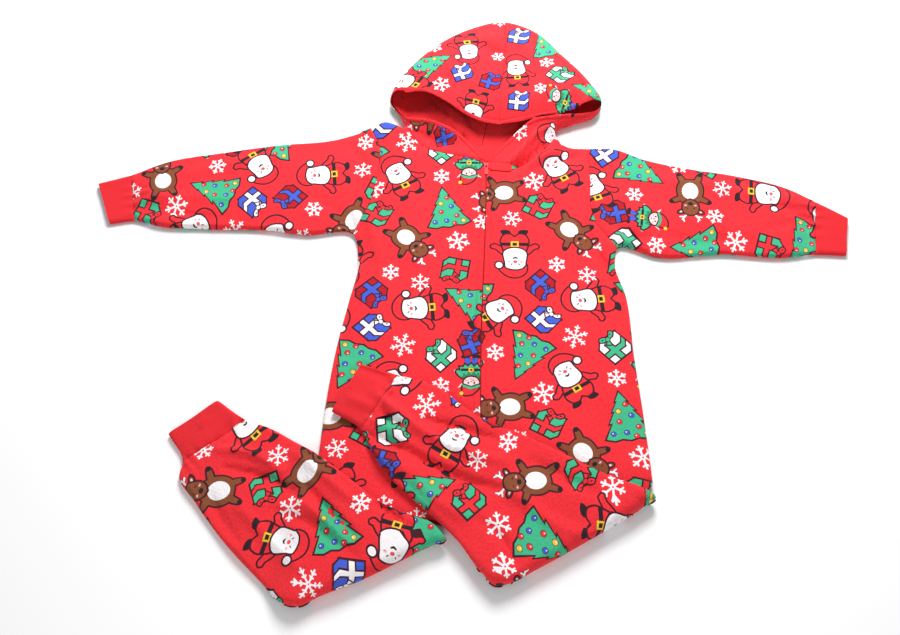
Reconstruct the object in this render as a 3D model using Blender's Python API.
"""A child's hooded onesie pajama in fleece, laid out face up with its sleeves spread and both legs folded up
over the body. Metres, Z up, the table at z = 0. Left and right (_l, _r) are the wearer's, so _r lies at -X.

Every piece of cloth is drawn as a flat outline in plan and then draped: near a side edge the cloth rolls over
a soft edge, and away from it the cloth lies at its layer's height. Pieces that are sewn together share one
curve, so their edges match and stay one seam gap apart."""

import math

import bmesh
import bpy
import numpy as np
from mathutils import Matrix, Vector
from mathutils.geometry import delaunay_2d_cdt

# Cloth
WALL = 0.0022
SEAM_GAP = 0.0003
NECK_GAP = 0.0006
# Body and sleeves: heights of the side seam and of the front above it
SIDE_HEIGHT = 0.0055
SIDE_ROLL = 0.0065
FRONT_RISE = 0.0075
FRONT_DOME = 0.0030
DOME_REACH = 0.040
# Sleeves where they gather into the wrist cuffs, and a point of the chest that tells limb from cuff
CHEST = (0.050, 0.200)
WRIST_HEIGHT = 0.0048
WRIST_RISE = 0.0055
# Hood
HOOD_HEIGHT = 0.0150
HOOD_ROLL = 0.0170
HOOD_RISE = 0.0180
HOOD_DOME = 0.0120
HOOD_START_Y = 0.315
HOOD_FULL_Y = 0.410
HOOD_MIDDLE_X = 0.080
HOOD_REACH = 0.230
# Folded legs
LEG_BASE = 0.0168
LEG_LIFT = 0.0130
ANKLE_LIFT = 0.0105
LEG_LOWER_ROLL = 0.0055
LEG_ROLL = 0.0075
LEG_SLOPE = 0.055
SLOPE_START = 0.004
GATHER_REACH = 0.040
FOLD_WRAP = 1.50
FOLD_INSET = 0.0170
CORE_INSET = 0.0012
CORE_CLEAR = 0.0010
FOLD_CLEAR = 0.0045
FLAT_CLEAR = 0.0015
INNER_CLEAR = 0.0320
CORNER_CLEAR = 0.0300
CROTCH_CLEAR = (-0.046, -0.326)
CROTCH_CORNER = (-0.010, -0.356)
CROTCH_REACH = 0.045
CROSSED_SHARE = 0.8
INSET_BLEND = 4.0
CLEAR_BLEND = 5.0
# Mesh
EDGE_STEP = 0.024
SHEET_STEP = 0.036
SLOPE_STEP = 0.002
TOUCHING = 1e-4
EVEN_TURN = 0.15
ROWS_APART = 4e-4
GRID_CLEAR = 0.4
DEEP_CLEAR = 0.3
EDGE_NEAR = 0.0015
LOOP_CLEAR = 0.0025
ROW_NEAR = 0.001
CUT_NEAR = 0.02
# Zip
ZIP_HALF_GAP = 0.0012
TAPE_HALF_WIDTH = 0.011
TAPE_THICK = 0.0010
TAPE_DROP = 0.0010
COIL_HALF_WIDTH = 0.0007
COIL_RISE = 0.0016
SLIDER_LENGTH = 0.0110
SLIDER_WIDTH = 0.0080
SLIDER_THICK = 0.0018
BRIDGE_SPAN = 0.0062
BRIDGE_RISE = 0.0036
BRIDGE_WIDTH = 0.0016
BRIDGE_BAR = 0.0009
PULL_LENGTH = 0.0170
PULL_WIDTH = 0.0064
PULL_THICK = 0.0012
PULL_BAR_RADIUS = 0.0007
PULL_SLOPE = math.radians(9.0)
WINDOW_LENGTH = 0.0040
WINDOW_WIDTH = 0.0032
HINGE_Y = 0.2780
SLIDER_AHEAD = 0.0010
TOOL_REACH = 0.0010
HOLE_DEEPER = 0.0001
WINDOW_CLEAR = 0.0001
HARD_ROUND = 0.0006
ROD_SEGMENTS = 24
BRIDGE_ROUND = 0.0005
PULL_ROUND = 0.0004
HOLE_ROUND = 0.0003
GUARD_THICK = 0.0014
GUARD_LENGTH = 0.0380
GUARD_DEPTH = 0.0150
GUARD_ALONG = 0.0060
GUARD_DOWN = 0.0020
GUARD_ROUND = 0.0005
REST_GAP = 0.0004
# The middle of the laid-out garment in the plan that the tables use
MIDDLE_X = 0.0319
MIDDLE_Y = 0.0700

# Worked out from the sizes above: half gaps, the height of the body's cloth, and where rows of points run
HALF = SEAM_GAP / 2
NECK_HALF = NECK_GAP / 2
CLOTH_TOP = SIDE_HEIGHT + FRONT_RISE + FRONT_DOME
FOLD_ROLL = (LEG_BASE + LEG_LIFT) / 2
SIDE_ROWS = (SIDE_ROLL * math.pi / 4, SIDE_ROLL * math.pi / 2)
HOOD_ROWS = (HOOD_ROLL * math.pi / 6, HOOD_ROLL * math.pi / 3, HOOD_ROLL * math.pi / 2)
BODY_ROWS = SIDE_ROWS + HOOD_ROWS[1:]
LEG_ROWS = (
    -FOLD_ROLL, -FOLD_ROLL / 2, 0.0, LEG_ROLL * math.pi / 4, LEG_ROLL * math.pi / 2, FOLD_ROLL * math.pi / 2,
)

COLOURS = {
    "fleece": (0.93, 0.035, 0.045, 1.0),
    "rib": (0.90, 0.030, 0.040, 1.0),
    "inner": (0.80, 0.020, 0.030, 1.0),
    "zip_red": (0.75, 0.020, 0.030, 1.0),
}

for old in list(bpy.data.objects):
    bpy.data.objects.remove(old, do_unlink=True)
PARTS = bpy.data.collections.new("onesie_pajama")
TOOLS = bpy.data.collections.new("cutters")
bpy.context.scene.collection.children.link(PARTS)
bpy.context.scene.collection.children.link(TOOLS)

# Each curve is a table of (mark, x, y). The cloth lies to the right of the direction of travel.
TOP_EDGE = [
    ("cuff_end_r", -0.587, 0.250), ("cuff_r", -0.535, 0.267), ("", -0.475, 0.292),
    ("", -0.390, 0.311), ("", -0.285, 0.328), ("", -0.195, 0.339),
    ("armhole_r", -0.137, 0.361), ("", -0.112, 0.372), ("neck_r", -0.076, 0.362),
    ("", -0.088, 0.388), ("", -0.104, 0.416), ("", -0.096, 0.447), ("", -0.063, 0.497),
    ("", -0.015, 0.545), ("", 0.035, 0.576), ("crown", 0.098, 0.592), ("", 0.150, 0.572),
    ("", 0.202, 0.512), ("", 0.246, 0.452), ("", 0.263, 0.413), ("", 0.257, 0.392),
    ("", 0.212, 0.370), ("neck_l", 0.180, 0.353), ("", 0.195, 0.326),
    ("armhole_l", 0.232, 0.320), ("", 0.275, 0.320), ("", 0.330, 0.297), ("", 0.400, 0.279),
    ("", 0.475, 0.264), ("", 0.550, 0.243), ("cuff_l", 0.603, 0.214), ("cuff_end_l", 0.650, 0.183),
]
LEFT_SIDE = [
    ("cuff_end_l", 0.637, 0.110), ("cuff_l", 0.588, 0.112), ("", 0.535, 0.106), ("", 0.440, 0.112),
    ("", 0.335, 0.106), ("underarm_l", 0.270, 0.122), ("", 0.264, 0.095), ("", 0.277, 0.035),
    ("", 0.282, -0.080), ("", 0.288, -0.170), ("hip_l", 0.292, -0.272), ("", 0.292, -0.310),
]
INSEAMS = [
    ("", 0.082, -0.462), ("fold_l", 0.064, -0.424), ("", 0.046, -0.370), ("", 0.034, -0.328),
    ("crotch", 0.026, -0.316), ("", 0.017, -0.327), ("fold_r", 0.002, -0.358), ("", -0.004, -0.400),
]
RIGHT_SIDE = [
    ("", -0.218, -0.480), ("fold_r", -0.209, -0.430), ("", -0.200, -0.330), ("", -0.190, -0.205),
    ("", -0.184, -0.130), ("", -0.174, -0.055), ("", -0.160, 0.020), ("", -0.147, 0.100),
    ("underarm_r", -0.158, 0.150), ("", -0.232, 0.149), ("", -0.300, 0.158), ("", -0.395, 0.161),
    ("", -0.475, 0.166), ("cuff_r", -0.516, 0.177), ("cuff_end_r", -0.556, 0.171),
]
ARMHOLE_R = [
    ("top", -0.137, 0.361), ("", -0.119, 0.318), ("", -0.119, 0.277), ("", -0.130, 0.215),
    ("low", -0.158, 0.150),
]
ARMHOLE_L = [
    ("top", 0.232, 0.320), ("", 0.233, 0.243), ("", 0.231, 0.197), ("", 0.242, 0.160),
    ("low", 0.270, 0.122),
]
NECK_FRONT_R = [
    ("side", -0.076, 0.362), ("", -0.047, 0.323), ("", -0.014, 0.309), ("", 0.024, 0.299),
    ("zip", 0.0605, 0.290),
]
NECK_FRONT_L = [
    ("zip", 0.0605, 0.290), ("", 0.085, 0.284), ("", 0.112, 0.284), ("", 0.145, 0.302),
    ("", 0.168, 0.328), ("side", 0.180, 0.353),
]
NECK_BACK = [
    ("neck_r", -0.076, 0.362), ("", -0.030, 0.343), ("centre", 0.055, 0.332), ("", 0.130, 0.341),
    ("neck_l", 0.180, 0.353),
]
HOOD_RIM_R = [
    ("centre", 0.083, 0.357), ("", 0.054, 0.361), ("", 0.022, 0.375), ("", -0.007, 0.395),
    ("", -0.034, 0.411), ("", -0.066, 0.420), ("", -0.090, 0.421), ("corner", -0.0985, 0.412),
    ("", -0.089, 0.394), ("", -0.064, 0.377), ("", -0.035, 0.365), ("", 0.000, 0.353),
    ("", 0.036, 0.322), ("zip", 0.0605, 0.290),
]
HOOD_RIM_L = [
    ("centre", 0.083, 0.357), ("", 0.129, 0.363), ("", 0.165, 0.377), ("", 0.205, 0.393),
    ("", 0.240, 0.409), ("corner", 0.2575, 0.409), ("", 0.249, 0.397), ("", 0.222, 0.389),
    ("", 0.186, 0.384), ("", 0.153, 0.374), ("", 0.125, 0.354), ("", 0.090, 0.321),
    ("zip", 0.0605, 0.290),
]
HOOD_SEAM = [("crown", 0.098, 0.592), ("", 0.096, 0.500), ("", 0.088, 0.420), ("rim", 0.083, 0.357)]
HOOD_BACK_SEAM = [("crown", 0.098, 0.592), ("", 0.084, 0.480), ("neck", 0.055, 0.332)]
FRONT_SEAM = [
    ("neck", 0.0605, 0.290), ("", 0.059, 0.209), ("", 0.055, 0.110), ("", 0.050, 0.010),
    ("", 0.046, -0.100), ("zip_end", 0.043, -0.215), ("crotch", 0.026, -0.316),
]
BACK_SEAM = [
    ("neck", 0.055, 0.332), ("", 0.055, 0.130), ("", 0.050, -0.060), ("", 0.042, -0.220),
    ("crotch", 0.026, -0.316),
]
# Folded legs: the fourth column is 1 along the fold and 0 along the side seam and the inseam.
LEG_L_EDGE = [
    ("cuff_end_top", -0.133, -0.092, 0), ("cuff_top", -0.077, -0.110, 0), ("", -0.025, -0.126, 0),
    ("", 0.040, -0.176, 0), ("", 0.105, -0.205, 0), ("", 0.170, -0.238, 0), ("", 0.240, -0.273, 0),
    ("", 0.278, -0.287, 0.3), ("", 0.293, -0.298, 0.7), ("", 0.272, -0.314, 1), ("", 0.200, -0.357, 1),
    ("", 0.120, -0.401, 1), ("", 0.080, -0.421, 1), ("", 0.062, -0.424, 0.6),
    ("", 0.044, -0.408, 0.2), ("", 0.012, -0.365, 0), ("", -0.046, -0.309, 0),
    ("", -0.092, -0.264, 0), ("", -0.113, -0.232, 0), ("cuff_low", -0.129, -0.199, 0),
    ("cuff_end_low", -0.174, -0.169, 0),
]
LEG_R_EDGE = [
    ("cuff_end_top", -0.346, -0.145, 0), ("cuff_top", -0.303, -0.175, 0), ("", -0.266, -0.189, 0),
    ("", -0.205, -0.226, 0), ("", -0.146, -0.270, 0), ("", -0.100, -0.306, 0),
    ("", -0.058, -0.325, 0), ("", -0.034, -0.332, 0), ("", -0.014, -0.348, 0),
    ("", -0.006, -0.360, 0.3), ("", -0.026, -0.368, 1), ("", -0.062, -0.386, 1),
    ("", -0.122, -0.416, 1), ("", -0.178, -0.438, 1), ("", -0.210, -0.452, 0.8),
    ("", -0.229, -0.447, 0.3), ("", -0.262, -0.416, 0), ("", -0.318, -0.360, 0),
    ("", -0.366, -0.300, 0), ("", -0.392, -0.262, 0), ("cuff_low", -0.389, -0.243, 0),
    ("cuff_end_low", -0.415, -0.198, 0),
]


# ---------------------------------------------------------------- curves


def smooth(t):
    """0 to 1 with level ends."""
    t = np.clip(t, 0.0, 1.0)
    return t * t * (3.0 - 2.0 * t)


def mix(a, b, t):
    return a + (b - a) * t


class Curve:
    """A smooth curve through a table of marked points, as a polyline that stops at every one of them."""

    def __init__(self, table):
        keys = np.array([row[1:3] for row in table], float)
        extra = np.array([row[3] if len(row) > 3 else 0.0 for row in table], float)
        before = np.vstack([2 * keys[:1] - keys[1:2], keys[:-1]])
        after = np.vstack([keys[1:], 2 * keys[-1:] - keys[-2:-1]])
        gap_before = np.linalg.norm(keys - before, axis=1)[:, None]
        gap_after = np.linalg.norm(after - keys, axis=1)[:, None]
        slope = (keys - before) / gap_before * gap_after + (after - keys) / gap_after * gap_before
        slope /= gap_before + gap_after
        points, folds, self.marks = [], [], {}
        for i in range(len(keys) - 1):
            if table[i][0]:
                self.marks[table[i][0]] = len(points)
            span = np.linalg.norm(keys[i + 1] - keys[i])
            for t in np.linspace(0.0, 1.0, max(1, round(span / EDGE_STEP)) + 1)[:-1]:
                square, cube = t * t, t * t * t
                place = (2 * cube - 3 * square + 1) * keys[i] + (3 * square - 2 * cube) * keys[i + 1]
                place = place + span * (cube - 2 * square + t) * slope[i]
                points.append(place + span * (cube - square) * slope[i + 1])
                folds.append(mix(extra[i], extra[i + 1], t))
        if table[-1][0]:
            self.marks[table[-1][0]] = len(points)
        self.points = np.array(points + [keys[-1]])
        self.fold = np.array(folds + [extra[-1]])

    def part(self, start, end):
        """The stretch between two marks, in that order."""
        a, b = self.marks[start], self.marks[end]
        return self.points[a : b + 1] if a <= b else self.points[b : a + 1][::-1]

    def whole(self):
        return self.points

    def back(self):
        return self.points[::-1]


def normals_in(points):
    """The unit normal to the right of travel at each point of a polyline."""
    run = np.diff(points, axis=0)
    run /= np.linalg.norm(run, axis=1)[:, None]
    right = np.stack([run[:, 1], -run[:, 0]], axis=1)
    both = np.vstack([right[:1], right]) + np.vstack([right, right[-1:]])
    return both / np.linalg.norm(both, axis=1)[:, None]


class Border:
    """The soft edges of one layer. Past its ends each edge runs straight on, so an open end stays open."""

    def __init__(self, curves, run_on=0.05):
        starts, ends, start_normals, end_normals, start_fold, end_fold = [], [], [], [], [], []
        for curve in curves:
            points = curve.points
            first = points[0] + (points[0] - points[1]) / np.linalg.norm(points[0] - points[1]) * run_on
            last = points[-1] + (points[-1] - points[-2]) / np.linalg.norm(points[-1] - points[-2]) * run_on
            points = np.vstack([first, points, last])
            fold = np.concatenate([curve.fold[:1], curve.fold, curve.fold[-1:]])
            normals = normals_in(points)
            starts.append(points[:-1])
            ends.append(points[1:])
            start_normals.append(normals[:-1])
            end_normals.append(normals[1:])
            start_fold.append(fold[:-1])
            end_fold.append(fold[1:])
        self.a, self.b = np.vstack(starts), np.vstack(ends)
        self.na, self.nb = np.vstack(start_normals), np.vstack(end_normals)
        self.fa, self.fb = np.concatenate(start_fold), np.concatenate(end_fold)

    def near(self, q):
        """For each point: its depth inside the edge, the inward direction there and the edge's fold value."""
        run = self.b - self.a
        length = (run**2).sum(axis=1)
        t = ((q[:, None, :] - self.a[None]) * run[None]).sum(axis=2) / length[None]
        t = np.clip(t, 0.0, 1.0)
        foot = self.a[None] + t[..., None] * run[None]
        gap = np.linalg.norm(q[:, None, :] - foot, axis=2)
        best = gap.argmin(axis=1)
        row = np.arange(len(q))
        t, foot, gap = t[row, best], foot[row, best], gap[row, best]
        inward = mix(self.na[best], self.nb[best], t[:, None])
        inward /= np.linalg.norm(inward, axis=1)[:, None]
        away = q - foot
        sign = np.where((away * inward).sum(axis=1) >= 0.0, 1.0, -1.0)
        apart = gap > TOUCHING
        straight = away[apart] / gap[apart, None] * sign[apart, None]
        inward[apart] = straight
        return sign * gap, inward, mix(self.fa[best], self.fb[best], t)


# ---------------------------------------------------------------- layers


class Layer:
    """Where cloth of one layer lies. heights(q, depth, fold) gives the seam height, the roll of the edge, how
    far the cloth rises or falls from the seam height and its extra height, all at points q of the plan."""

    def __init__(self, border, heights, up):
        self.border, self.heights, self.up = border, heights, up

    def level(self, q):
        """The height of the layer at points q, were there no soft edge."""
        depth, _, fold = self.border.near(q)
        seam, _, rise, extra = self.heights(q, depth, fold)
        return seam + self.up * (rise + extra)

    def drape(self, q):
        """The outer surface over plan points q, with its outward normals."""
        depth, inward, fold = self.border.near(q)
        seam, roll, rise, extra = self.heights(q, depth, fold)
        turn = np.minimum(depth / roll, math.pi / 2)
        rolled = roll * (1.0 - np.cos(turn))
        past = (math.pi / 2 - 1.0) * roll * (1.0 - smooth((depth - roll * math.pi / 2) / DOME_REACH))
        move = np.where(depth < roll * math.pi / 2, rolled - depth, -past)
        place = q + inward * move[:, None]
        lifted = np.sin(turn)
        z = seam + self.up * (rise * lifted + extra * np.maximum(lifted, 0.0))
        step = SLOPE_STEP
        slope_x = self.up * (self.level(q + [step, 0.0]) - self.level(q - [step, 0.0])) / (2 * step)
        slope_y = self.up * (self.level(q + [0.0, step]) - self.level(q - [0.0, step])) / (2 * step)
        side = -inward * np.cos(turn)[:, None]
        flat = smooth(2.0 * lifted - 1.0)
        tilt = np.stack([slope_x, slope_y], axis=1) * flat[:, None]
        normal = np.column_stack([side - tilt, self.up * lifted])
        normal /= np.linalg.norm(normal, axis=1)[:, None]
        return np.column_stack([place, z]), normal


TOP, LEFT, SEAMS, RIGHT = Curve(TOP_EDGE), Curve(LEFT_SIDE), Curve(INSEAMS), Curve(RIGHT_SIDE)
BODY = Border([TOP, LEFT, SEAMS, RIGHT])
ARM_R, ARM_L = Curve(ARMHOLE_R), Curve(ARMHOLE_L)
FRONT_NECK_R, FRONT_NECK_L, BACK_NECK = Curve(NECK_FRONT_R), Curve(NECK_FRONT_L), Curve(NECK_BACK)
RIM_R, RIM_L = Curve(HOOD_RIM_R), Curve(HOOD_RIM_L)
CROWN_SEAM, NAPE_SEAM = Curve(HOOD_SEAM), Curve(HOOD_BACK_SEAM)
FRONT, BACK = Curve(FRONT_SEAM), Curve(BACK_SEAM)
LEG_L, LEG_R = Curve(LEG_L_EDGE), Curve(LEG_R_EDGE)
LEG_L_BORDER, LEG_R_BORDER = Border([LEG_L]), Border([LEG_R])
RIGHT_BORDER = Border([RIGHT])


def gathered(q, seam_a, seam_b, inner):
    """0 in the limb and 1 in its cuff, rising over the last few centimetres. inner lies in the limb."""
    middle = (seam_a + seam_b) / 2
    across = seam_b - seam_a
    along = np.array([across[1], -across[0]]) / np.linalg.norm(across)
    if np.dot(inner - middle, along) > 0:
        along = -along
    distance = (q - middle) @ along
    return smooth((distance + GATHER_REACH) / GATHER_REACH)


def wristness(q):
    """1 in the wrist cuffs and 0 in the body."""
    middle = np.array(CHEST)
    right = gathered(q, TOP.part("cuff_r", "cuff_r")[0], RIGHT.part("cuff_r", "cuff_r")[0], middle)
    left = gathered(q, TOP.part("cuff_l", "cuff_l")[0], LEFT.part("cuff_l", "cuff_l")[0], middle)
    return np.maximum(right, left)


def front_heights(q, depth, fold):
    hood = smooth((q[:, 1] - HOOD_START_Y) / (HOOD_FULL_Y - HOOD_START_Y))
    hood = hood * (np.abs(q[:, 0] - HOOD_MIDDLE_X) < HOOD_REACH)
    wrist = wristness(q)
    seam = mix(mix(SIDE_HEIGHT, WRIST_HEIGHT, wrist), HOOD_HEIGHT, hood)
    roll = mix(SIDE_ROLL, HOOD_ROLL, hood)
    rise = mix(mix(FRONT_RISE, WRIST_RISE, wrist), HOOD_RISE, hood)
    dome = mix(FRONT_DOME * (1.0 - wrist), HOOD_DOME, hood)
    return seam, roll, rise, dome * smooth((depth - roll) / DOME_REACH)


def back_heights(q, depth, fold):
    seam, roll, _, _ = front_heights(q, depth, fold)
    return seam, roll, seam, np.zeros(len(q))


FRONT_LAYER = Layer(BODY, front_heights, 1.0)
BACK_LAYER = Layer(BODY, back_heights, -1.0)


def leg_base(q, right):
    """What the folded leg lies on: the body, and past the body's side a slope down to the table."""
    if not right:
        return np.full(len(q), LEG_BASE)
    depth, _, _ = RIGHT_BORDER.near(q)
    return LEG_BASE * smooth((depth + LEG_SLOPE - SLOPE_START) / LEG_SLOPE)


def leg_layer(curve, border, right, up):
    top, low = curve.part("cuff_top", "cuff_top")[0], curve.part("cuff_low", "cuff_low")[0]
    inner = curve.points[len(curve.points) // 2]

    def heights(q, depth, fold):
        base = leg_base(q, right)
        lift = mix(LEG_LIFT, ANKLE_LIFT, gathered(q, top, low, inner))
        seam = mix(base + LEG_LOWER_ROLL, (base + lift) / 2, fold)
        roll = mix(LEG_ROLL, FOLD_ROLL, fold)
        rise = base + lift - seam if up > 0 else seam - base
        return seam, roll, rise, np.zeros(len(q))

    return Layer(border, heights, up)


LEG_L_FRONT = leg_layer(LEG_L, LEG_L_BORDER, False, 1.0)
LEG_L_UNDER = leg_layer(LEG_L, LEG_L_BORDER, False, -1.0)
LEG_R_FRONT = leg_layer(LEG_R, LEG_R_BORDER, True, 1.0)
LEG_R_UNDER = leg_layer(LEG_R, LEG_R_BORDER, True, -1.0)


# ---------------------------------------------------------------- meshes


def outline(*parts):
    """A closed outline from (points, gap) stretches, travelled with the cloth on the right. Each stretch
    moves inward by its own gap, and the corners follow both of their sides."""
    points, gaps = [], []
    for part, gap in parts:
        points += [tuple(p) for p in part[:-1]]
        gaps += [gap] * (len(part) - 1)
    points, gaps = np.array(points), np.array(gaps)
    run = np.roll(points, -1, axis=0) - points
    run /= np.linalg.norm(run, axis=1)[:, None]
    right = np.stack([run[:, 1], -run[:, 0]], axis=1)
    before, gap_before = np.roll(right, 1, axis=0), np.roll(gaps, 1)
    turn = before[:, 0] * right[:, 1] - before[:, 1] * right[:, 0]
    even = np.abs(turn) < EVEN_TURN
    turn = np.where(even, 1.0, turn)
    move_x = np.where(even, (before[:, 0] * gap_before + right[:, 0] * gaps) / 2,
                      (gap_before * right[:, 1] - gaps * before[:, 1]) / turn)
    move_y = np.where(even, (before[:, 1] * gap_before + right[:, 1] * gaps) / 2,
                      (gaps * before[:, 0] - gap_before * right[:, 0]) / turn)
    return points + np.stack([move_x, move_y], axis=1)


def seam(points, border, rows):
    """A seam with points at every step, and at each row's depth where it runs up to a soft edge."""
    points = np.asarray(points, float)
    dense = [points[0]]
    for a, b in zip(points[:-1], points[1:]):
        count = max(1, math.ceil(np.linalg.norm(b - a) / SHEET_STEP))
        dense += [mix(a, b, t) for t in np.linspace(0.0, 1.0, count + 1)[1:]]
    dense = np.array(dense)
    depth = border.near(dense)[0]
    found = [dense[0]]
    for i in range(len(dense) - 1):
        low, high = depth[i], depth[i + 1]
        least, most = min(low, high) + ROWS_APART, max(low, high) - ROWS_APART
        between = [(row - low) / (high - low) for row in rows if least < row < most]
        found += [mix(dense[i], dense[i + 1], t) for t in sorted(between)] + [dense[i + 1]]
    return np.array(found)


def inside(q, loop):
    """Which points q lie inside a closed outline."""
    a, b = loop, np.roll(loop, -1, axis=0)
    y, x = q[:, 1, None], q[:, 0, None]
    crosses = (a[None, :, 1] > y) != (b[None, :, 1] > y)
    rise = np.where(b[:, 1] == a[:, 1], 1.0, b[:, 1] - a[:, 1])
    at = a[None, :, 0] + (y - a[None, :, 1]) / rise[None] * (b[:, 0] - a[:, 0])[None]
    return (crosses & (x < at)).sum(axis=1) % 2 == 1


def clear_of(q, loop):
    """The distance from points q to a closed outline."""
    a, run = loop, np.roll(loop, -1, axis=0) - loop
    t = ((q[:, None] - a[None]) * run[None]).sum(axis=2) / (run**2).sum(axis=1)[None]
    foot = a[None] + np.clip(t, 0.0, 1.0)[..., None] * run[None]
    return np.linalg.norm(q[:, None] - foot, axis=2).min(axis=1)


def flat_mesh(loop, border, rolls=()):
    """A flat triangle mesh of an outline: a grid in the middle and rows of points along the soft edges."""
    low, high = loop.min(axis=0), loop.max(axis=0)
    columns, rows = (np.arange(math.floor(a / SHEET_STEP), b / SHEET_STEP) for a, b in zip(low, high))
    x, y = np.meshgrid(columns * SHEET_STEP, rows * SHEET_STEP)
    x = x + (rows % 2)[:, None] * SHEET_STEP / 2
    grid = np.column_stack([x.ravel(), y.ravel()])
    grid = grid[inside(grid, loop)]
    grid = grid[clear_of(grid, loop) > SHEET_STEP * GRID_CLEAR]
    deepest = max(rolls, default=0.0)
    grid = grid[border.near(grid)[0] > deepest + SHEET_STEP * DEEP_CLEAR]
    extra = [grid]
    depth, inward, _ = border.near(loop)
    edge = depth < EDGE_NEAR
    for roll in rolls:
        row = loop[edge] + inward[edge] * (roll - depth[edge, None])
        row = row[inside(row, loop)] if len(row) else row
        row = row[clear_of(row, loop) > LOOP_CLEAR] if len(row) else row
        extra.append(row[np.abs(border.near(row)[0] - roll) < ROW_NEAR] if len(row) else row)
    every = np.vstack([loop] + [e for e in extra if len(e)])
    ring = list(range(len(loop)))
    found = delaunay_2d_cdt([Vector(p) for p in every], [], [ring], 1, 1e-7)
    return np.array([tuple(v) for v in found[0]]), [list(f) for f in found[2]]


def joined(sheets):
    """Several draped sheets as one, welded where their points meet: (points, normals, faces)."""
    points, normals, faces, known = [], [], [], {}
    for place, normal, triangles in sheets:
        new = []
        for p, n in zip(place, normal):
            key = tuple(np.round(p, 6))
            if key not in known:
                known[key] = len(points)
                points.append(p)
                normals.append(n)
            new.append(known[key])
        faces += [[new[i] for i in f] for f in triangles if len({new[i] for i in f}) == 3]
    return np.array(points), np.array(normals), faces


def rims(faces):
    """The open edges of a sheet, in its own direction of travel."""
    edges = {}
    for f in faces:
        for a, b in zip(f, f[1:] + f[:1]):
            edges[(a, b)] = True
    return [e for e in edges if (e[1], e[0]) not in edges]


def closed(outer, inner, faces):
    """A closed solid between an outer and an inner copy of one sheet."""
    count = len(outer)
    sides = [f[::-1] for f in ([[i + count for i in g] for g in faces])]
    around = [[b, a, a + count, b + count] for a, b in rims(faces)]
    return np.vstack([outer, inner]), faces + sides + around


def draped(layer, loop, rolls):
    """One side of a piece on its layer, its faces turned outward."""
    flat, faces = flat_mesh(loop, layer.border, rolls)
    place, normal = layer.drape(flat)
    turned = []
    for f in faces:
        a, b, c = (flat[i] for i in f)
        upward = (b[0] - a[0]) * (c[1] - a[1]) - (b[1] - a[1]) * (c[0] - a[0]) > 0
        turned.append(f if upward == (layer.up > 0) else f[::-1])
    return place, normal, turned


def add_node(name, points, faces, colour):
    """A named object with its own material, from points and faces."""
    mesh = bpy.data.meshes.new(name)
    mesh.from_pydata([(p[0] - MIDDLE_X, p[1] - MIDDLE_Y, p[2]) for p in points], [], faces)
    body = bmesh.new()
    body.from_mesh(mesh)
    bmesh.ops.recalc_face_normals(body, faces=body.faces)
    bmesh.ops.triangulate(body, faces=body.faces)
    body.to_mesh(mesh)
    body.free()
    node = bpy.data.objects.new(name, mesh)
    PARTS.objects.link(node)
    paint(node, colour)
    return node


def paint(node, colour):
    material = bpy.data.materials.new(node.name + "_" + colour)
    material.use_nodes = True
    shader = material.node_tree.nodes["Principled BSDF"]
    shader.inputs["Base Color"].default_value = COLOURS[colour]
    shader.inputs["Roughness"].default_value = 0.45 if colour == "zip_red" else 0.9
    node.data.materials.append(material)


def add_cloth(name, sheets, colour="fleece"):
    """A wall of cloth: every draped sheet of the piece, welded and thickened inward."""
    points, normals, faces = joined(sheets)
    solid, sides = closed(points, points - normals * WALL, faces)
    return add_node(name, solid, sides, colour)


def sewn(points):
    """A seam of the body, which every piece that meets there shares."""
    return seam(points, BODY, BODY_ROWS)


def shifted(points, distance):
    """A polyline moved to the right of its travel, by one distance or one for each point."""
    return points + normals_in(points) * np.reshape(distance, (-1, 1))


def fold_line(curve, first, last, by_corner=()):
    """Where the flat cloth ends under a fold: the fold's edge moved in, cut between two points of the body.
    by_corner names points that take it clear of a tight corner."""
    moved = shifted(curve.points, FOLD_ROLL + FLAT_CLEAR)
    keep = moved[curve.fold > 0.9][1:-1]
    for point in by_corner:
        keep = keep[np.linalg.norm(keep - point, axis=1) > CORNER_CLEAR]
    return sewn(np.vstack([first, *by_corner, keep, last]))


def fold_ends(curve):
    """The two ends of a leg's fold line on the body's own edges."""
    moved = shifted(curve.points, FOLD_ROLL + FLAT_CLEAR)[curve.fold > 0.9]
    return moved[0], moved[-1]


def cut_at(points, other, keep_start):
    """A polyline up to (or from) its nearest point to another point."""
    run = np.diff(points, axis=0)
    t = np.clip(((other - points[:-1]) * run).sum(axis=1) / (run**2).sum(axis=1), 0.0, 1.0)
    foot = points[:-1] + t[:, None] * run
    i = int(np.linalg.norm(foot - other, axis=1).argmin())
    if keep_start:
        return np.vstack([points[: i + 1], foot[i]]) if t[i] > CUT_NEAR else points[: i + 1]
    return np.vstack([foot[i], points[i + 1 :]]) if t[i] < 1.0 - CUT_NEAR else points[i + 1 :]


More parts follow.
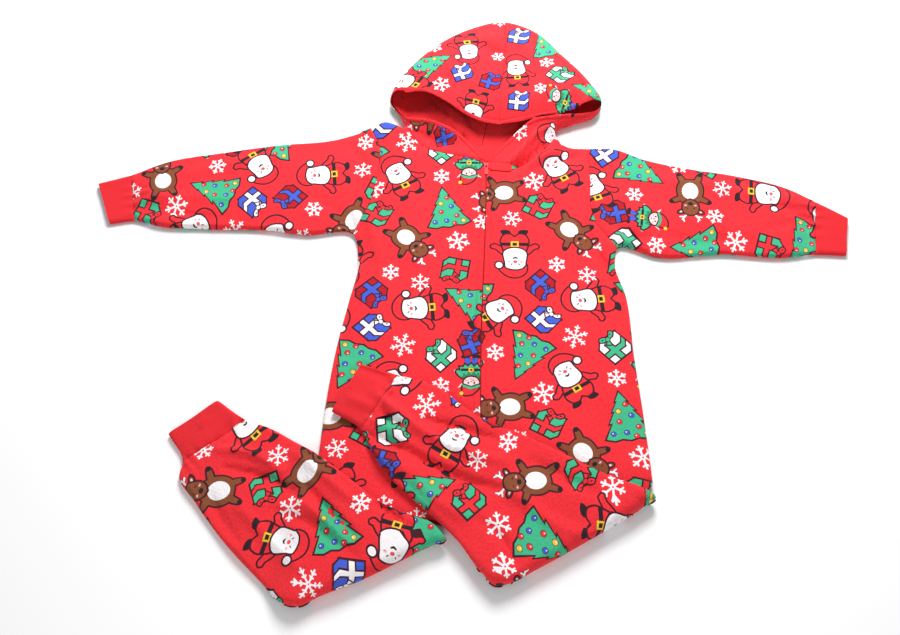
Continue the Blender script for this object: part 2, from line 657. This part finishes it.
def body_panels():
    """The two fronts and the two backs, from the shoulders to where the legs fold."""
    hip_l, inner_l = fold_ends(LEG_L)
    inner_r, outer_r = fold_ends(LEG_R)
    side_l = cut_at(LEFT.part("underarm_l", "hip_l"), hip_l, True)
    seam_l = cut_at(SEAMS.part("fold_l", "crotch"), inner_l, False)
    seam_r = cut_at(SEAMS.part("crotch", "fold_r"), inner_r + [0.0, INNER_CLEAR], True)
    side_r = cut_at(RIGHT.part("fold_r", "underarm_r"), outer_r, False)
    fold_l = fold_line(LEG_L, side_l[-1], seam_l[0])
    fold_r = fold_line(LEG_R, seam_r[-1], side_r[0], [CROTCH_CLEAR])
    shoulder_l, shoulder_r = TOP.part("neck_l", "armhole_l"), TOP.part("armhole_r", "neck_r")
    down = sewn(FRONT.part("zip_end", "crotch"))
    arm_l, arm_r, spine = sewn(ARM_L.whole()), sewn(ARM_R.whole()), sewn(BACK.whole())
    neck_l, neck_r = sewn(FRONT_NECK_L.whole()), sewn(FRONT_NECK_R.whole())
    nape_l, nape_r = sewn(BACK_NECK.part("centre", "neck_l")), sewn(BACK_NECK.part("neck_r", "centre"))
    front_l = outline(
        (neck_l, NECK_HALF), (shoulder_l, HALF), (arm_l, HALF), (side_l, HALF), (fold_l, 0.0),
        (seam_l, HALF), (down[::-1], HALF), (FRONT.part("zip_end", "neck"), ZIP_HALF_GAP),
    )
    front_r = outline(
        (shoulder_r, HALF), (neck_r, NECK_HALF), (FRONT.part("neck", "zip_end"), ZIP_HALF_GAP),
        (down, HALF), (seam_r, HALF), (fold_r, 0.0), (side_r, HALF), (arm_r[::-1], HALF),
    )
    back_l = outline(
        (nape_l, NECK_HALF), (shoulder_l, HALF), (arm_l, HALF), (side_l, HALF), (fold_l, 0.0), (seam_l, HALF),
        (spine[::-1], HALF),
    )
    back_r = outline(
        (shoulder_r, HALF), (nape_r, NECK_HALF), (spine, HALF), (seam_r, HALF), (fold_r, 0.0), (side_r, HALF),
        (arm_r[::-1], HALF),
    )
    add_cloth("front_l", [draped(FRONT_LAYER, front_l, SIDE_ROWS)])
    add_cloth("front_r", [draped(FRONT_LAYER, front_r, SIDE_ROWS)])
    add_cloth("back_l", [draped(BACK_LAYER, back_l, SIDE_ROWS)])
    add_cloth("back_r", [draped(BACK_LAYER, back_r, SIDE_ROWS)])


def tube(name, loop, above, below, rows, colour="fleece"):
    """A limb or cuff: its upper and lower side, welded along both soft edges and open at its ends."""
    add_cloth(name, [draped(above, loop, rows), draped(below, loop, rows)], colour)


def sleeves():
    across_r = sewn([TOP.part("cuff_r", "cuff_r")[0], RIGHT.part("cuff_r", "cuff_r")[0]])
    across_l = sewn([TOP.part("cuff_l", "cuff_l")[0], LEFT.part("cuff_l", "cuff_l")[0]])
    arm_l, arm_r = sewn(ARM_L.whole()), sewn(ARM_R.whole())
    sleeve_r = outline(
        (TOP.part("cuff_r", "armhole_r"), 0.0), (arm_r, HALF),
        (RIGHT.part("underarm_r", "cuff_r"), 0.0), (across_r[::-1], HALF),
    )
    sleeve_l = outline(
        (TOP.part("armhole_l", "cuff_l"), 0.0), (across_l, HALF), (LEFT.part("cuff_l", "underarm_l"), 0.0),
        (arm_l[::-1], HALF),
    )
    end_r = sewn([RIGHT.part("cuff_end_r", "cuff_end_r")[0], TOP.part("cuff_end_r", "cuff_end_r")[0]])
    end_l = sewn([TOP.part("cuff_end_l", "cuff_end_l")[0], LEFT.part("cuff_end_l", "cuff_end_l")[0]])
    cuff_r = outline(
        (TOP.part("cuff_end_r", "cuff_r"), 0.0), (across_r, HALF), (RIGHT.part("cuff_r", "cuff_end_r"), 0.0),
        (end_r, 0.0),
    )
    cuff_l = outline(
        (TOP.part("cuff_l", "cuff_end_l"), 0.0), (end_l, 0.0), (LEFT.part("cuff_end_l", "cuff_l"), 0.0),
        (across_l[::-1], HALF),
    )
    tube("sleeve_r", sleeve_r, FRONT_LAYER, BACK_LAYER, SIDE_ROWS)
    tube("sleeve_l", sleeve_l, FRONT_LAYER, BACK_LAYER, SIDE_ROWS)
    tube("wrist_cuff_r", cuff_r, FRONT_LAYER, BACK_LAYER, SIDE_ROWS, "rib")
    tube("wrist_cuff_l", cuff_l, FRONT_LAYER, BACK_LAYER, SIDE_ROWS, "rib")


def hood():
    """Each half lies under the head opening and folds over its edge to the front rim and the neck seam."""
    side_r, side_l = TOP.part("neck_r", "crown"), TOP.part("crown", "neck_l")
    neck_l, neck_r = sewn(FRONT_NECK_L.back()), sewn(FRONT_NECK_R.back())
    nape_l, nape_r = sewn(BACK_NECK.part("neck_l", "centre")), sewn(BACK_NECK.part("centre", "neck_r"))
    crown, nape = sewn(CROWN_SEAM.whole()), sewn(NAPE_SEAM.whole())
    over_r = outline((side_r, 0.0), (crown, HALF), (RIM_R.whole(), 0.0), (neck_r, NECK_HALF))
    under_r = outline((side_r, 0.0), (nape, HALF), (nape_r, NECK_HALF))
    over_l = outline((side_l, 0.0), (neck_l, NECK_HALF), (RIM_L.back(), 0.0), (crown[::-1], HALF))
    under_l = outline((side_l, 0.0), (nape_l, NECK_HALF), (nape[::-1], HALF))
    add_cloth("hood_r", [draped(FRONT_LAYER, over_r, HOOD_ROWS), draped(BACK_LAYER, under_r, HOOD_ROWS)])
    add_cloth("hood_l", [draped(FRONT_LAYER, over_l, HOOD_ROWS), draped(BACK_LAYER, under_l, HOOD_ROWS)])


def folded_leg(side, curve, above, below, tight=0.0):
    """The back of the leg, which turns up round the fold and shows, and the layers hidden under it."""
    a, b = curve.marks["cuff_top"], curve.marks["cuff_low"]
    edge, fold = curve.points[a : b + 1], curve.fold[a : b + 1]
    across = seam([edge[-1], edge[0]], above.border, LEG_ROWS)
    wrapped = shifted(edge, HALF * (1.0 - fold) - FOLD_WRAP * FOLD_ROLL * fold)
    wrapped[0], wrapped[-1] = edge[0], edge[-1]
    back = outline((wrapped, 0.0), (across, HALF))
    add_cloth(f"leg_{side}_top", [draped(above, back, LEG_ROWS)])

    by_fold = np.maximum(fold, np.maximum(np.append(fold[1:], 0.0), np.append(0.0, fold[:-1])))
    inset = HALF + FOLD_INSET * smooth(INSET_BLEND * by_fold)
    core_edge = shifted(edge, inset)
    core_edge[0], core_edge[-1] = edge[0], edge[-1]
    crossed = above.border.near(core_edge)[0] < CROSSED_SHARE * inset
    crossed[[0, -1]] = False
    near_crotch = np.linalg.norm(edge - CROTCH_CORNER, axis=1) < tight
    core_edge = core_edge[~crossed & ~near_crotch]
    core = outline((core_edge, 0.0), (across, CORE_INSET))
    flat, faces = flat_mesh(core, above.border, LEG_ROWS)
    place, normal = above.drape(flat)
    depth, _, by_fold_here = above.border.near(flat)
    loose = CORE_CLEAR * np.minimum(1.0, depth / LEG_ROLL) + FOLD_CLEAR * smooth(CLEAR_BLEND * by_fold_here)
    roof = place - normal * (WALL + SEAM_GAP + loose)[:, None]
    ledge = (clear_of(flat, core) < 1e-5) & (depth < LEG_ROLL)
    seam_height = above.heights(flat, depth, by_fold_here)[0] - SEAM_GAP
    roof[:, 2] = np.where(ledge, np.minimum(roof[:, 2], seam_height), roof[:, 2])
    floor, _ = below.drape(flat)
    floor[:, 2] = np.where(ledge, np.minimum(floor[:, 2], seam_height), floor[:, 2])
    return add_core(f"leg_{side}_layers", roof, floor, flat, faces)


def add_core(name, roof, floor, flat, faces):
    upward = []
    for f in faces:
        a, b, c = (flat[i] for i in f)
        up = (b[0] - a[0]) * (c[1] - a[1]) - (b[1] - a[1]) * (c[0] - a[0]) > 0
        upward.append(f if up else f[::-1])
    solid, sides = closed(roof, floor, upward)
    return add_node(name, solid, sides, "inner")


def ankle_cuff(side, curve, above, below):
    top, low = curve.part("cuff_end_top", "cuff_top"), curve.part("cuff_low", "cuff_end_low")
    across = seam([top[-1], low[0]], above.border, LEG_ROWS)
    end = seam([low[-1], top[0]], above.border, LEG_ROWS)
    loop = outline((top, 0.0), (across, HALF), (low, 0.0), (end, 0.0))
    tube(f"ankle_cuff_{side}", loop, above, below, LEG_ROWS, "rib")


def zip_tape():
    """The tape under the front edges, with the coil standing up between them."""
    line = FRONT.part("neck", "zip_end")
    side = normals_in(line)
    top = CLOTH_TOP - WALL - TAPE_DROP
    profile = [
        (-TAPE_HALF_WIDTH, -TAPE_THICK), (-TAPE_HALF_WIDTH, 0.0), (-COIL_HALF_WIDTH, 0.0),
        (-COIL_HALF_WIDTH, COIL_RISE), (COIL_HALF_WIDTH, COIL_RISE), (COIL_HALF_WIDTH, 0.0),
        (TAPE_HALF_WIDTH, 0.0), (TAPE_HALF_WIDTH, -TAPE_THICK),
    ]
    points, faces = [], []
    for place, across in zip(line, side):
        points += [(*(place + across * u), top + v) for u, v in profile]
    count = len(profile)
    for i in range(len(line) - 1):
        for j in range(count):
            k = (j + 1) % count
            faces.append([i * count + j, i * count + k, (i + 1) * count + k, (i + 1) * count + j])
    faces.append(list(range(count)))
    faces.append([(len(line) - 1) * count + j for j in reversed(range(count))])
    add_node("zip_tape", points, faces, "zip_red")


def block(name, size, place, round_by, collection):
    """A box with rounded edges."""
    body = bmesh.new()
    bmesh.ops.create_cube(body, size=1.0, matrix=Matrix.Diagonal((*size, 1.0)))
    bmesh.ops.bevel(body, geom=body.edges, offset=round_by, segments=2, affect="EDGES", profile=0.5)
    mesh = bpy.data.meshes.new(name)
    body.to_mesh(mesh)
    body.free()
    node = bpy.data.objects.new(name, mesh)
    node.location = place
    collection.objects.link(node)
    return node


def rod(name, radius, length, collection):
    """A round bar along X about the origin."""
    body = bmesh.new()
    bmesh.ops.create_cone(
        body, cap_ends=True, segments=ROD_SEGMENTS, radius1=radius, radius2=radius, depth=length,
        matrix=Matrix.Rotation(math.pi / 2, 4, "Y"),
    )
    mesh = bpy.data.meshes.new(name)
    body.to_mesh(mesh)
    body.free()
    node = bpy.data.objects.new(name, mesh)
    collection.objects.link(node)
    return node


def combine(node, tool, operation):
    """A Boolean of a node with a hidden tool."""
    change = node.modifiers.new(tool.name, "BOOLEAN")
    change.operation = operation
    change.solver = "EXACT"
    change.object = tool
    tool.hide_render = True
    tool.display_type = "WIRE"


def zip_slider_and_pull():
    """The slider stands on the front edges, and its pull tab hangs on a bar through the slider's bridge."""
    x = FRONT.part("neck", "neck")[0][0] - MIDDLE_X
    y = HINGE_Y - MIDDLE_Y
    deck = CLOTH_TOP + REST_GAP + SLIDER_THICK
    slider = block(
        "zip_slider", (SLIDER_WIDTH, SLIDER_LENGTH, SLIDER_THICK),
        (x, y + SLIDER_AHEAD, deck - SLIDER_THICK / 2), HARD_ROUND, PARTS,
    )
    bridge = block(
        "bridge_tool", (BRIDGE_WIDTH, BRIDGE_SPAN, BRIDGE_RISE + TOOL_REACH),
        (x, y, deck + (BRIDGE_RISE - TOOL_REACH) / 2), BRIDGE_ROUND, TOOLS,
    )
    hole = block(
        "bridge_hole_tool", (SLIDER_WIDTH, BRIDGE_SPAN - 2 * BRIDGE_BAR, BRIDGE_RISE - BRIDGE_BAR),
        (x, y, deck + (BRIDGE_RISE - BRIDGE_BAR) / 2 + HOLE_DEEPER), HOLE_ROUND, TOOLS,
    )
    combine(slider, bridge, "UNION")
    combine(slider, hole, "DIFFERENCE")
    paint(slider, "zip_red")

    pull = block(
        "zip_pull", (PULL_WIDTH, PULL_LENGTH, PULL_THICK), (0.0, 0.0, 0.0), PULL_ROUND, PARTS,
    )
    pull.data.transform(Matrix.Translation((0.0, -PULL_LENGTH / 2, 0.0)))
    bar = rod("pull_bar_tool", PULL_BAR_RADIUS, PULL_WIDTH, TOOLS)
    window = block(
        "pull_window_tool", (WINDOW_WIDTH, WINDOW_LENGTH, PULL_THICK * 3),
        (0.0, -PULL_BAR_RADIUS - WINDOW_CLEAR - WINDOW_LENGTH / 2, 0.0), HOLE_ROUND, TOOLS,
    )
    bar.parent = pull
    window.parent = pull
    combine(pull, bar, "UNION")
    combine(pull, window, "DIFFERENCE")
    pull.location = (x, y, deck + (BRIDGE_RISE - BRIDGE_BAR) / 2)
    pull.rotation_euler = (PULL_SLOPE, 0.0, 0.0)
    paint(pull, "zip_red")


def zip_guard():
    """The plain patch beside the top of the zip."""
    start, end = FRONT_NECK_L.points[0], FRONT_NECK_L.points[2]
    along = (end - start) / np.linalg.norm(end - start)
    down = np.array([along[1], -along[0]])
    middle = start + along * (GUARD_LENGTH / 2 + GUARD_ALONG) + down * (GUARD_DEPTH / 2 + GUARD_DOWN)
    guard = block(
        "zip_guard", (GUARD_LENGTH, GUARD_DEPTH, GUARD_THICK),
        (middle[0] - MIDDLE_X, middle[1] - MIDDLE_Y, CLOTH_TOP + REST_GAP + GUARD_THICK / 2),
        GUARD_ROUND, PARTS,
    )
    guard.rotation_euler = (0.0, 0.0, math.atan2(along[1], along[0]))
    paint(guard, "fleece")


body_panels()
sleeves()
hood()
folded_leg("l", LEG_L, LEG_L_FRONT, LEG_L_UNDER)
folded_leg("r", LEG_R, LEG_R_FRONT, LEG_R_UNDER, tight=CROTCH_REACH)
ankle_cuff("l", LEG_L, LEG_L_FRONT, LEG_L_UNDER)
ankle_cuff("r", LEG_R, LEG_R_FRONT, LEG_R_UNDER)
zip_tape()
zip_slider_and_pull()
zip_guard()
